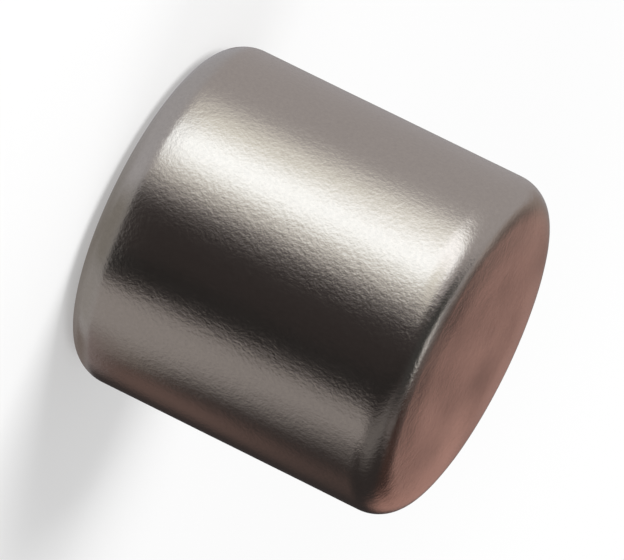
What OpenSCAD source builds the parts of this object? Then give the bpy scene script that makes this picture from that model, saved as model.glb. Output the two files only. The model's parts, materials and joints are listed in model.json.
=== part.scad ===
// Cylinder magnet: a solid round bar with flat ground ends and tumbled edges, plated all over.
// It stands on one end face, with its axis along +Z and the origin at the centre of that face.
// Sizes are in millimetres and are taken over the plating.

/* [Body] */
// Diameter across the round side
magnet_d = 5; // [2:0.5:20]
// Length from end face to end face
magnet_l = 5; // [2:0.5:30]

/* [Edges] */
// Radius of the tumbled edge between the round side and each end face
edge_r = 0.5; // [0.1:0.05:0.8]

/* [Hidden] */
$fn = 128;
magnet_r = magnet_d / 2;
plating_color = [0.72, 0.70, 0.67];

// Half of the section through the axis, with a quarter-round corner at each end of the side
module rounded_half_section(radius, length, corner_r) {
    square([radius - corner_r, length]);
    translate([0, corner_r])
        square([radius, length - 2 * corner_r]);
    for (corner_z = [corner_r, length - corner_r])
        translate([radius - corner_r, corner_z])
            circle(r = corner_r);
}

// The magnet itself: one solid, turned from its half section
module magnet() {
    color(plating_color)
        rotate_extrude()
            rounded_half_section(magnet_r, magnet_l, edge_r);
}

magnet();
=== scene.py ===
"""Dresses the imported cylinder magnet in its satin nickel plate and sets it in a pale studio."""

import json
import math
from collections import namedtuple

import bpy
from mathutils import Matrix, Vector


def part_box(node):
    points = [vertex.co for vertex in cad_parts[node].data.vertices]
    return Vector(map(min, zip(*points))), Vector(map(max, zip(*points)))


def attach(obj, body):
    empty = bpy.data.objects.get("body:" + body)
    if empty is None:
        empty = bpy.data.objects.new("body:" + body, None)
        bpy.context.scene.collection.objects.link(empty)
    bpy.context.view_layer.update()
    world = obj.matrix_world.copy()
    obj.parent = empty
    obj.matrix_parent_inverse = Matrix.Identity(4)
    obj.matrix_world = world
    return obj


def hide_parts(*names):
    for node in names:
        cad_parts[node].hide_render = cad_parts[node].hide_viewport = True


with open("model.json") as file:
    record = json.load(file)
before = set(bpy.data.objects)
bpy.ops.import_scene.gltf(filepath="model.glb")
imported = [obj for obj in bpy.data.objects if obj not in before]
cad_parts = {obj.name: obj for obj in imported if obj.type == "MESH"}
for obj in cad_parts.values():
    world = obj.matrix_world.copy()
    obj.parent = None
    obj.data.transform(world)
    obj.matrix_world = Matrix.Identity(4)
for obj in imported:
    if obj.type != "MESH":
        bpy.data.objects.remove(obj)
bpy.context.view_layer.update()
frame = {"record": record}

bl_info = {
    "name": "Cylinder Magnet",
    "version": (1, 0, 0),
    "blender": (4, 5, 0),
    "location": "3D View > Sidebar > Magnet",
    "description": "Turned magnet body with a satin nickel plate, and its studio",
    "category": "Object",
}

MM = 0.001
NODE = "magnet"
SLOT = "nickel_plate"
WHITE = (1, 1, 1, 1)

BODY_LOW, BODY_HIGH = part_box(NODE)
LENGTH = BODY_HIGH.z - BODY_LOW.z
ROUND_SIDE = next(m["dims"] for m in frame["record"]["mounts"] if m["name"] == "round_side")
RADIUS = ROUND_SIDE["r_mm"] * MM
EDGE_RADIUS = (LENGTH - ROUND_SIDE["length_mm"] * MM) / 2


# ---------------------------------------------------------------------------------- settings


class BodySettings(bpy.types.PropertyGroup):
    """Sizes of the turned body"""

    radius: bpy.props.FloatProperty(
        name="Radius", description="Radius of the round side",
        default=RADIUS, min=0.0005, unit="LENGTH", precision=5)
    length: bpy.props.FloatProperty(
        name="Length", description="Distance between the two end faces",
        default=LENGTH, min=0.001, unit="LENGTH", precision=5)
    edge_radius: bpy.props.FloatProperty(
        name="Edge radius", description="Radius of the tumbled edge at each end",
        default=EDGE_RADIUS, min=0.00005, unit="LENGTH", precision=5)
    flat_radius: bpy.props.FloatProperty(
        name="Flat radius", description="Radius of the middle of an end face that stays flat",
        default=1.3 * MM, min=0, unit="LENGTH", precision=5)
    end_fall: bpy.props.FloatProperty(
        name="End fall", description="Depth of an end face's soft fall, before the edge fades it out",
        default=0.045 * MM, min=0, unit="LENGTH", precision=6)
    wave_depth: bpy.props.FloatProperty(
        name="Wave depth", description="Height of the shallow waves that tumbling leaves",
        default=0.004 * MM, min=0, unit="LENGTH", precision=6)
    wave_size: bpy.props.FloatProperty(
        name="Wave size", description="Distance from one shallow wave to the next",
        default=0.7 * MM, min=0.0001, unit="LENGTH", precision=5)
    seed: bpy.props.IntProperty(
        name="Seed", description="Which set of waves the body has", default=5, min=0)


class PlateSettings(bpy.types.PropertyGroup):
    """Finish of the nickel plate"""

    color: bpy.props.FloatVectorProperty(
        name="Nickel", description="Colour that the plate reflects",
        default=(0.69, 0.64, 0.58), min=0, max=1, size=3, subtype="COLOR")
    roughness: bpy.props.FloatProperty(
        name="Roughness", description="How satin the plate is",
        default=0.2, min=0, max=1, subtype="FACTOR")
    grain_size: bpy.props.FloatProperty(
        name="Grain size", description="Width of one grain of the plate",
        default=0.05 * MM, min=0.00001, unit="LENGTH", precision=6)
    grain_depth: bpy.props.FloatProperty(
        name="Grain depth", description="Height of the grain",
        default=0.0045 * MM, min=0, unit="LENGTH", precision=6)
    grain_shade: bpy.props.FloatProperty(
        name="Grain shade", description="How much the grain darkens and lightens the plate",
        default=0.2, min=0, max=1, subtype="FACTOR")
    dimple_size: bpy.props.FloatProperty(
        name="Dimple size", description="Width of one of the soft dimples under the grain",
        default=0.2 * MM, min=0.00001, unit="LENGTH", precision=6)
    dimple_depth: bpy.props.FloatProperty(
        name="Dimple depth", description="Depth of the soft dimples",
        default=0.003 * MM, min=0, unit="LENGTH", precision=6)
    stain_and_mottle_size: bpy.props.FloatProperty(
        name="Stain and mottle size", description="Width of one cloudy patch of the plate",
        default=1.2 * MM, min=0.0001, unit="LENGTH", precision=5)
    side_stain: bpy.props.FloatProperty(
        name="Side stain", description="How much the cloudy patches change the round side",
        default=0.04, min=0, max=1, subtype="FACTOR")
    # painted reflection: a strong cloudy mottle on the flat end faces
    face_reflection_mottle: bpy.props.FloatProperty(
        name="Face reflection mottle", description="How much the cloudy patches change the flat end faces",
        default=1.5, min=0, max=3)
    lay: bpy.props.FloatProperty(
        name="Lay", description="Direction in which the ends were ground, from +X",
        default=math.radians(63), subtype="ANGLE")
    lay_stretch: bpy.props.FloatProperty(
        name="Lay stretch", description="How much longer a cloudy patch is along the lay",
        default=1.5, min=1)


class StudioSettings(bpy.types.PropertyGroup):
    """Camera, floor and lamps"""

    azimuth: bpy.props.FloatProperty(
        name="Azimuth", description="Where the camera stands round the magnet, from the front",
        default=math.radians(153), subtype="ANGLE")
    elevation: bpy.props.FloatProperty(
        name="Elevation", description="How far the camera looks down on the end face",
        default=math.radians(15.2), subtype="ANGLE")
    roll: bpy.props.FloatProperty(
        name="Roll", description="Turn of the camera that lays the magnet down in the view",
        default=math.radians(116.2), subtype="ANGLE")
    distance: bpy.props.FloatProperty(
        name="Distance", description="From the camera to the middle of the magnet",
        default=0.157, min=0.01, unit="LENGTH")
    lens: bpy.props.FloatProperty(
        name="Lens", description="Focal length in millimetres", default=670, min=1)
    floor_radius: bpy.props.FloatProperty(
        name="Floor radius", description="Radius of the pale floor",
        default=0.15, min=0.01, unit="LENGTH")
    shadow_reach: bpy.props.FloatProperty(
        name="Shadow reach", description="How far out the floor keeps the magnet's shadow",
        default=0.03, min=0.001, unit="LENGTH")


class MagnetSettings(bpy.types.PropertyGroup):
    """Everything that the panel shows"""

    body: bpy.props.PointerProperty(
        type=BodySettings, name="Body", description="Sizes of the turned body")
    plate: bpy.props.PointerProperty(
        type=PlateSettings, name="Plate", description="Finish of the nickel plate")
    studio: bpy.props.PointerProperty(
        type=StudioSettings, name="Studio", description="Camera, floor and lamps")


# ------------------------------------------------------------------------------- node helpers


def add_node(tree, kind, inputs=None, **properties):
    """Adds a node, sets its properties, then sets or links its inputs by name or number."""
    node = tree.nodes.new(kind)
    for name, value in properties.items():
        setattr(node, name, value)
    for name, value in (inputs or {}).items():
        if isinstance(value, bpy.types.NodeSocket):
            tree.links.new(value, node.inputs[name])
        else:
            node.inputs[name].default_value = value
    return node


def add_math(tree, operation, first, second=0.0):
    """Adds a Math node of either kind of tree and returns its result."""
    return add_node(tree, "ShaderNodeMath", {0: first, 1: second}, operation=operation).outputs[0]


def new_material(name):
    """Starts an empty node material and returns it with its tree and output."""
    material = bpy.data.materials.new(name)
    material.use_nodes = True
    tree = material.node_tree
    tree.nodes.clear()
    return material, tree, add_node(tree, "ShaderNodeOutputMaterial")


def new_object(name, mesh):
    """Links a new object to the scene."""
    item = bpy.data.objects.new(name, mesh)
    bpy.context.scene.collection.objects.link(item)
    return item


# -------------------------------------------------------------------------------- nickel plate


NOISE_MIDDLE = 0.5      # the value that a noise texture varies about
FINE_SHARE = 0.65       # how much of the plate's noise is in its finer layers
END_FROM = 0.9          # how level the skin is where the end faces' cloudy patches begin
END_FULLY = 1.0         # and where they are at their strongest


def plate_noise(tree, place, size, detail):
    """A noise about 0 whose patches have the given size on the plate."""
    noise = add_node(tree, "ShaderNodeTexNoise", {
        "Vector": place, "Scale": 1 / size, "Detail": detail, "Roughness": FINE_SHARE})
    return add_math(tree, "SUBTRACT", noise.outputs[0], NOISE_MIDDLE)


def stain_and_reflection_mottle(tree, coordinates, plate):
    """Cloudy patches drawn out along the grinding lay: faint tone on the side, painted reflection on
    the ends.
    """
    turned_back = add_node(tree, "ShaderNodeVectorRotate", {
        "Vector": coordinates["Object"], "Angle": -plate.lay}, rotation_type="Z_AXIS")
    drawn_out = add_node(tree, "ShaderNodeVectorMath", {
        0: turned_back.outputs[0], 1: (1 / plate.lay_stretch, 1, 1)}, operation="MULTIPLY")
    facing_up = add_node(tree, "ShaderNodeSeparateXYZ", {0: coordinates["Normal"]}).outputs[2]
    # strongest on the flat ends, where the patches are painted reflection mottle
    amount = add_node(tree, "ShaderNodeMapRange", {
        0: add_math(tree, "ABSOLUTE", facing_up), 1: END_FROM, 2: END_FULLY,
        3: plate.side_stain, 4: plate.face_reflection_mottle}).outputs[0]
    patches = plate_noise(tree, drawn_out.outputs[0], plate.stain_and_mottle_size, detail=1.0)
    return add_math(tree, "MULTIPLY", patches, amount)


def nickel_plate(plate):
    """Satin nickel: a fine grain over soft dimples, with cloudy patches of painted reflection on the
    ends.
    """
    material, tree, output = new_material(SLOT)
    coordinates = add_node(tree, "ShaderNodeTexCoord").outputs
    grain = plate_noise(tree, coordinates["Object"], plate.grain_size, detail=3.0)
    dimples = plate_noise(tree, coordinates["Object"], plate.dimple_size, detail=1.0)
    # the end faces' cloudy patches are painted reflection; the grain shade is the plate's own tone
    shade = add_math(tree, "ADD", stain_and_reflection_mottle(tree, coordinates, plate),
                     add_math(tree, "MULTIPLY", grain, plate.grain_shade))
    tint = add_node(tree, "ShaderNodeVectorMath", {
        0: tuple(plate.color), "Scale": add_math(tree, "ADD", shade, 1.0)}, operation="SCALE")
    height = add_math(tree, "ADD", add_math(tree, "MULTIPLY", grain, plate.grain_depth),
                      add_math(tree, "MULTIPLY", dimples, plate.dimple_depth))
    relief = add_node(tree, "ShaderNodeBump", {
        "Height": height, "Strength": 1.0, "Distance": 1.0})
    metal = add_node(tree, "ShaderNodeBsdfPrincipled", {
        "Metallic": 1.0, "Base Color": tint.outputs[0],
        "Roughness": plate.roughness, "Normal": relief.outputs[0]})
    tree.links.new(metal.outputs[0], output.inputs["Surface"])
    return material


# --------------------------------------------------------------------------------- turned body


EDGE_STEPS = 60         # points on each rounded corner of the section
TURNS = 320             # columns of faces round the body
RINGS = 269             # rings of points along the section
SEAM_GAP = 1e-7         # points nearer than this are merged, at the seam and on the axis
FALL_POWER = 8.0        # how soon an end face's soft fall fades out down the rounded edge


def half_section(tree, size):
    """The section's outline from the axis out, up the side and back in, with rounded corners."""
    corners = {}
    for number, (outward, upward) in enumerate(((0, 0), (1, 0), (1, 1), (0, 1)), 1):
        corners[f"Point {number}"] = add_node(tree, "ShaderNodeCombineXYZ", {
            "X": add_math(tree, "MULTIPLY", size["Radius"], outward),
            "Z": add_math(tree, "MULTIPLY", size["Length"], upward)}).outputs[0]
    loop = add_node(tree, "GeometryNodeCurvePrimitiveQuadrilateral", corners, mode="POINTS")
    outline = add_node(tree, "GeometryNodeSetSplineCyclic", {
        0: loop.outputs[0], "Cyclic": False})
    return add_node(tree, "GeometryNodeFilletCurve", {
        0: outline.outputs[0], "Count": EDGE_STEPS, "Radius": size["Edge Radius"],
        "Limit Radius": True}, mode="POLY").outputs[0]


def turned(tree, outline):
    """Turns the outline about the axis: one side of a flat grid runs round, the other along it."""
    grid = add_node(tree, "GeometryNodeMeshGrid", {
        "Size X": 2 * math.pi, "Size Y": 1.0, "Vertices X": TURNS + 1, "Vertices Y": RINGS})
    place = add_node(tree, "ShaderNodeSeparateXYZ", {
        0: add_node(tree, "GeometryNodeInputPosition").outputs[0]})
    along = add_math(tree, "ADD", place.outputs[1], 0.5)
    point = add_node(tree, "GeometryNodeSampleCurve", {
        0: outline, "Factor": along}, mode="FACTOR", use_all_curves=False)
    spun = add_node(tree, "ShaderNodeVectorRotate", {
        "Vector": point.outputs["Position"], "Angle": place.outputs[0]},
        rotation_type="Z_AXIS")
    skin = add_node(tree, "GeometryNodeSetPosition", {
        0: grid.outputs[0], "Position": spun.outputs[0]})
    return add_node(tree, "GeometryNodeMergeByDistance", {
        0: skin.outputs[0], "Distance": SEAM_GAP}).outputs[0]


def fallen_away(tree, body, size):
    """Lets each end face fall away softly from its flat middle, and fades that out on the edge."""
    half_length = add_math(tree, "DIVIDE", size["Length"], 2.0)
    x, y, z = add_node(tree, "ShaderNodeSeparateXYZ", {
        0: add_node(tree, "GeometryNodeInputPosition").outputs[0]}).outputs
    level = add_node(tree, "ShaderNodeCombineXYZ", {"X": x, "Y": y})
    out = add_node(tree, "ShaderNodeVectorMath", {0: level.outputs[0]}, operation="LENGTH")
    fall = add_node(tree, "ShaderNodeMapRange", {
        0: out.outputs[1], 1: size["Flat Radius"], 2: size["Radius"],
        3: 0.0, 4: size["End Fall"]}, interpolation_type="SMOOTHERSTEP")
    inward = add_math(tree, "SUBTRACT", half_length, z)
    nearness = add_node(tree, "ShaderNodeMapRange", {
        0: add_math(tree, "ABSOLUTE", inward),
        1: add_math(tree, "SUBTRACT", half_length, size["Edge Radius"]), 2: half_length,
        3: 0.0, 4: 1.0})
    share = add_math(tree, "MULTIPLY", fall.outputs[0],
                     add_math(tree, "POWER", nearness.outputs[0], FALL_POWER))
    offset = add_node(tree, "ShaderNodeCombineXYZ", {
        "Z": add_math(tree, "MULTIPLY", inward, add_math(tree, "DIVIDE", share, half_length))})
    return add_node(tree, "GeometryNodeSetPosition", {
        0: body, "Offset": offset.outputs[0]}).outputs[0]


def waved(tree, body, size):
    """Lifts and lowers the skin by the shallow waves that tumbling leaves."""
    noise = add_node(tree, "ShaderNodeTexNoise", {
        "Scale": add_math(tree, "DIVIDE", 1.0, size["Wave Size"]),
        "W": size["Seed"], "Detail": 1.0}, noise_dimensions="4D")
    wave = add_math(tree, "SUBTRACT", noise.outputs[0], NOISE_MIDDLE)
    lift = add_math(tree, "MULTIPLY", wave, size["Wave Depth"])
    offset = add_node(tree, "ShaderNodeVectorMath", {
        0: add_node(tree, "GeometryNodeInputNormal").outputs[0], "Scale": lift},
        operation="SCALE")
    return add_node(tree, "GeometryNodeSetPosition", {
        0: body, "Offset": offset.outputs[0]}).outputs[0]


def turned_body_tree():
    """Builds the node tree that turns the body, tumbles it softly out of true and plates it."""
    tree = bpy.data.node_groups.new("turned_body", "GeometryNodeTree")
    for name, kind in (("Radius", "Float"), ("Length", "Float"), ("Edge Radius", "Float"),
                       ("Flat Radius", "Float"), ("End Fall", "Float"),
                       ("Wave Depth", "Float"), ("Wave Size", "Float"), ("Seed", "Float"),
                       ("Plate", "Material")):
        tree.interface.new_socket(name, in_out="INPUT", socket_type="NodeSocket" + kind)
    tree.interface.new_socket("Body", in_out="OUTPUT", socket_type="NodeSocketGeometry")
    size = add_node(tree, "NodeGroupInput").outputs
    body = turned(tree, half_section(tree, size))
    body = waved(tree, fallen_away(tree, body, size), size)
    smooth = add_node(tree, "GeometryNodeSetShadeSmooth", {0: body})
    real = add_node(tree, "GeometryNodeRealizeInstances", {0: smooth.outputs[0]})
    plated = add_node(tree, "GeometryNodeSetMaterial", {
        0: real.outputs[0], "Material": size["Plate"]})
    add_node(tree, "NodeGroupOutput", {0: plated.outputs[0]})
    return tree


def apply_tree(item, tree, values):
    """Runs a tree on an object with the given inputs and keeps the result as its plain mesh."""
    modifier = item.modifiers.new(tree.name, "NODES")
    modifier.node_group = tree
    for socket in tree.interface.items_tree:
        if socket.in_out == "INPUT":
            modifier[socket.identifier] = values[socket.name]
    evaluated = item.evaluated_get(bpy.context.evaluated_depsgraph_get())
    mesh = bpy.data.meshes.new_from_object(evaluated)
    item.modifiers.remove(modifier)
    item.data = mesh


class MAGNET_OT_body(bpy.types.Operator):
    """Turn the magnet's body and plate it with nickel"""

    bl_idname = "magnet.body"
    bl_label = "Magnet Body"
    bl_options = {"REGISTER", "UNDO"}

    def execute(self, context):
        settings = context.scene.magnet
        size = settings.body
        item = new_object("magnet_body", bpy.data.meshes.new("magnet_body"))
        apply_tree(item, turned_body_tree(), {
            "Radius": size.radius, "Length": size.length, "Edge Radius": size.edge_radius,
            "Flat Radius": size.flat_radius, "End Fall": size.end_fall,
            "Wave Depth": size.wave_depth, "Wave Size": size.wave_size,
            "Seed": float(size.seed), "Plate": nickel_plate(settings.plate)})
        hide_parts(NODE)
        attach(item, "root")
        return {"FINISHED"}


# -------------------------------------------------------------------------------------- studio


def heading(angle):
    """The level direction at an angle, counted from +X."""
    return Vector((math.cos(angle), math.sin(angle), 0))


def camera_heading(studio):
    """The angle, counted from +X, at which the camera stands round the magnet."""
    return studio.azimuth - math.pi / 2


def seen_directly(tree):
    """1 for a ray from the camera or from a shiny or clear surface, and 0 for all other rays."""
    path = add_node(tree, "ShaderNodeLightPath").outputs
    return add_math(tree, "MAXIMUM", path["Is Camera Ray"],
                    add_math(tree, "MAXIMUM", path["Is Glossy Ray"], path["Is Transmission Ray"]))


def pale_floor_material(studio):
    """Pale paper that shows the magnet's shadow near it and fades to plain white far out."""
    paper_color, least_white = (0.85, 0.85, 0.85, 1), 0.35
    fade_start = studio.shadow_reach / 3
    material, tree, output = new_material("pale_floor")
    out = add_node(tree, "ShaderNodeVectorMath", {
        0: add_node(tree, "ShaderNodeTexCoord").outputs["Object"]}, operation="LENGTH")
    white_share = add_node(tree, "ShaderNodeMapRange", {
        0: out.outputs[1], 1: fade_start, 2: studio.shadow_reach, 3: least_white, 4: 1.0},
        interpolation_type="SMOOTHSTEP")
    paper = add_node(tree, "ShaderNodeBsdfDiffuse", {"Color": paper_color})
    white = add_node(tree, "ShaderNodeEmission", {"Color": WHITE, "Strength": 1.0})
    mixed = add_node(tree, "ShaderNodeMixShader", {
        0: add_math(tree, "MULTIPLY", seen_directly(tree), white_share.outputs[0]),
        1: paper.outputs[0], 2: white.outputs[0]})
    tree.links.new(mixed.outputs[0], output.inputs["Surface"])
    return material


def make_floor(studio):
    """A round, pale floor under the magnet."""
    mesh = bpy.data.meshes.new("floor")
    corners = 96
    rim = [heading(2 * math.pi * i / corners) * studio.floor_radius for i in range(corners)]
    mesh.from_pydata(rim, [], [range(corners)])
    mesh.materials.append(pale_floor_material(studio))
    new_object("floor", mesh)


def make_world():
    """White behind everything that the camera or a reflection sees, and a soft fill light."""
    fill_light = 0.42
    world = bpy.data.worlds.new("studio")
    bpy.context.scene.world = world
    world.use_nodes = True
    tree = world.node_tree
    tree.nodes.clear()
    strength = add_node(tree, "ShaderNodeMapRange", {0: seen_directly(tree), 3: fill_light, 4: 1.0})
    sky = add_node(tree, "ShaderNodeBackground", {
        "Color": WHITE, "Strength": strength.outputs[0]})
    add_node(tree, "ShaderNodeOutputWorld", {"Surface": sky.outputs[0]})


def make_lamp(studio, name, around, height, reach, power):
    """A square softbox that faces the magnet. Reflections show the tent in its place."""
    light = bpy.data.lights.new(name, "AREA")
    light.size = reach / 2
    light.energy = power
    lamp = new_object(name, light)
    lamp.location = (heading(camera_heading(studio) + math.radians(around))
                     * reach * math.cos(math.radians(height)))
    lamp.location.z = reach * math.sin(math.radians(height))
    lamp.rotation_euler = (-lamp.location).to_track_quat("-Z", "Y").to_euler()
    lamp.visible_glossy = False


Panel = namedtuple("Panel", "name start end low high soft fade glow")

# Panels of the light tent, in the order that they are hung. Start and end are degrees round the
# magnet from the camera. Low and high are degrees above the level of its middle, so the floor
# is below 0. Soft is the blur of the upright sides and fade that of the lower and upper ones.
# The glow is the light that the plate reflects there. All angles are in steps of 5 degrees.
TENT_GREY = (0.40, 0.38, 0.39)
PANELS = (
    Panel("black side", -10, 180, -90, 100, 30, 15, (0.035, 0.03, 0.03)),
    Panel("black side top", -30, 10, 50, 80, 15, 15, (0.06, 0.055, 0.055)),
    Panel("black card", 35, 50, -90, 60, 10, 15, (0.02, 0.02, 0.02)),
    Panel("dim card", 65, 100, 15, 60, 20, 20, (0.16, 0.15, 0.15)),
    Panel("dim arch", 100, 155, 55, 65, 20, 10, (0.20, 0.18, 0.18)),
    Panel("grey apron", 95, 115, -60, -25, 15, 10, (0.21, 0.19, 0.18)),
    Panel("grey card", 60, 85, -90, 15, 10, 20, (0.30, 0.28, 0.28)),
    Panel("grey foot card", 60, 100, -90, -10, 20, 25, (0.32, 0.30, 0.30)),
    Panel("grey skirt", 100, 145, -90, -45, 15, 20, (0.22, 0.18, 0.18)),
    Panel("brown foot card", 120, 145, -45, -10, 20, 20, (0.15, 0.10, 0.09)),
    Panel("black crown", -180, 180, 70, 100, 5, 15, (0.05, 0.05, 0.05)),
    Panel("black corner", -175, -145, 60, 75, 10, 10, (0.08, 0.08, 0.08)),
    Panel("dark back card", 140, 180, 25, 55, 15, 10, (0.06, 0.035, 0.03)),
    Panel("dim back card", 180, 205, 5, 45, 10, 15, (0.27, 0.22, 0.20)),
    Panel("dark back gap", 140, 195, 25, 35, 15, 10, (0.03, 0.02, 0.02)),
    Panel("brown back card", 150, 185, 5, 25, 20, 10, (0.42, 0.235, 0.20)),
    Panel("hair light", 175, 180, 60, 75, 10, 10, (1.3, 1.3, 1.3)),
    Panel("softbox border", -75, -20, -55, 45, 25, 25, (0.90, 0.90, 0.85)),
    Panel("softbox", -55, -30, -60, 10, 20, 25, (1.45, 1.55, 1.65)),
    Panel("softbox top", -70, -45, -5, 50, 25, 20, (1.45, 1.50, 1.60)),
    Panel("foot ring", -180, 180, -100, -70, 5, 25, (0.42, 0.42, 0.45)),
    Panel("foot card", 60, 110, -100, -70, 30, 25, (0.32, 0.31, 0.31)),
    Panel("foot shade", 0, 60, -100, -70, 30, 25, (0.24, 0.23, 0.22)),
    Panel("back foot card", 115, 185, -100, -70, 20, 25, (0.20, 0.17, 0.16)),
)


def ramp(value, edge, blur):
    """Rises smoothly from 0 to 1 over a blur that is centred on an edge."""
    t = min(1, max(0, (value - edge) / blur + 0.5))
    return t * t * (3 - 2 * t)


def tent_glow(around, height):
    """The tent's light at an angle round the magnet and an angle above its middle, in degrees."""
    glow = Vector(TENT_GREY)
    for panel in PANELS:
        middle = (panel.start + panel.end) / 2
        half = (panel.end - panel.start) / 2
        away = abs((around - middle + 180) % 360 - 180)
        goes_all_round = half == 180
        share = 1 if goes_all_round else 1 - ramp(away, half, panel.soft)
        share *= ramp(height, panel.low, panel.fade) * (1 - ramp(height, panel.high, panel.fade))
        glow = glow.lerp(Vector(panel.glow), share)
    return glow


def tent_rows(body):
    """Each row's distance out, height above the floor and angle above the magnet's middle.

    The rows on the floor stand closer together towards the magnet.
    """
    reach, foot = 60 * MM, 0.01 * MM
    floor_rows, crowding, rise_step = 28, 3, 3
    rows = []
    for row in range(floor_rows):
        out = reach * (row / floor_rows) ** crowding
        rows.append((out, foot, -math.degrees(math.atan2(body.length / 2, out))))
    for rise in range(0, 90 + 1, rise_step):
        up = math.radians(rise)
        rows.append((reach * math.cos(up), foot + reach * math.sin(up), rise))
    return rows


def tent_faces(steps, row_count):
    """The squares between the tent's upright lines of points, its floor's middle and its crown."""
    faces = []
    for step in range(steps):
        here, there = step * row_count, (step + 1) % steps * row_count
        faces += [(here + row, there + row, there + row + 1, here + row + 1)
                  for row in range(row_count - 1)]
    faces.append([step * row_count for step in range(steps)])
    faces.append([(step + 1) * row_count - 1 for step in range(steps)])
    return faces


def tent_cloth():
    """Cloth that gives off the light of the panels hung on it."""
    material, tree, output = new_material("tent_cloth")
    glow = add_node(tree, "ShaderNodeAttribute", attribute_name="glow")
    cloth = add_node(tree, "ShaderNodeEmission", {"Color": glow.outputs["Color"]})
    tree.links.new(cloth.outputs[0], output.inputs["Surface"])
    return material


def make_tent(studio, body):
    """Hangs the light tent over the floor and round the magnet, for its reflections alone.

    Its seams run where the camera's rays leave the round side, so a panel shows as a straight band.
    """
    steps = 180
    rows = tent_rows(body)
    places, glows = [], []
    for step in range(steps):
        around = 360 * step / steps - 180
        start = heading(camera_heading(studio) + math.radians(around) / 2) * body.radius
        ahead = heading(camera_heading(studio) + math.radians(around))
        for out, up, height in rows:
            places.append(start + ahead * out + Vector((0, 0, up)))
            glows.append(tent_glow(around, height))
    mesh = bpy.data.meshes.new("light_tent")
    mesh.from_pydata(places, [], tent_faces(steps, len(rows)))
    colors = mesh.color_attributes.new("glow", "FLOAT_COLOR", "POINT")
    for item, glow in zip(colors.data, glows):
        item.color = (*glow, 1)
    mesh.materials.append(tent_cloth())
    tent = new_object("light_tent", mesh)
    for ray in ("camera", "diffuse", "transmission", "volume_scatter", "shadow"):
        setattr(tent, "visible_" + ray, False)


def make_camera(studio, body):
    """Looks down along the magnet, rolled so that the magnet lies across the view."""
    middle = Vector((0, 0, body.length / 2))
    back = heading(camera_heading(studio)) * math.cos(studio.elevation)
    back.z = math.sin(studio.elevation)
    data = bpy.data.cameras.new("camera")
    data.lens = studio.lens
    camera = new_object("camera", data)
    turn = (-back).to_track_quat("-Z", "Y").to_matrix().to_4x4()
    camera.matrix_world = (Matrix.Translation(middle + back * studio.distance) @ turn
                           @ Matrix.Rotation(studio.roll, 4, "Z"))
    bpy.context.scene.camera = camera


class MAGNET_OT_studio(bpy.types.Operator):
    """Set up the floor, the lamps, the light tent and the camera"""

    bl_idname = "magnet.studio"
    bl_label = "Studio"
    bl_options = {"REGISTER", "UNDO"}

    def execute(self, context):
        settings = context.scene.magnet
        make_floor(settings.studio)
        make_world()
        make_lamp(settings.studio, "key_lamp", around=-60, height=48, reach=0.16, power=0.22)
        make_lamp(settings.studio, "fill_lamp", around=110, height=55, reach=0.16, power=0.05)
        make_tent(settings.studio, settings.body)
        make_camera(settings.studio, settings.body)
        context.scene.view_settings.view_transform = "Standard"
        return {"FINISHED"}


# --------------------------------------------------------------------------------------- panel


class VIEW3D_PT_magnet(bpy.types.Panel):
    """Lists the sizes and finishes, and the steps that build the magnet"""

    bl_label = "Cylinder Magnet"
    bl_space_type = "VIEW_3D"
    bl_region_type = "UI"
    bl_category = "Magnet"

    def draw(self, context):
        settings = context.scene.magnet
        for group in (settings.body, settings.plate, settings.studio):
            box = self.layout.box()
            for name in group.__annotations__:
                box.prop(group, name)
        for operator in (MAGNET_OT_body, MAGNET_OT_studio):
            self.layout.operator(operator.bl_idname)


CLASSES = (BodySettings, PlateSettings, StudioSettings, MagnetSettings,
           MAGNET_OT_body, MAGNET_OT_studio, VIEW3D_PT_magnet)


def register():
    for item in CLASSES:
        bpy.utils.register_class(item)
    bpy.types.Scene.magnet = bpy.props.PointerProperty(
        type=MagnetSettings, name="Magnet", description="Sizes, finish and studio of the magnet")


def unregister():
    del bpy.types.Scene.magnet
    for item in reversed(CLASSES):
        bpy.utils.unregister_class(item)


def main():
    """Builds the magnet and its studio."""
    register()
    bpy.ops.magnet.body()
    bpy.ops.magnet.studio()


if __name__ == "__main__":
    main()
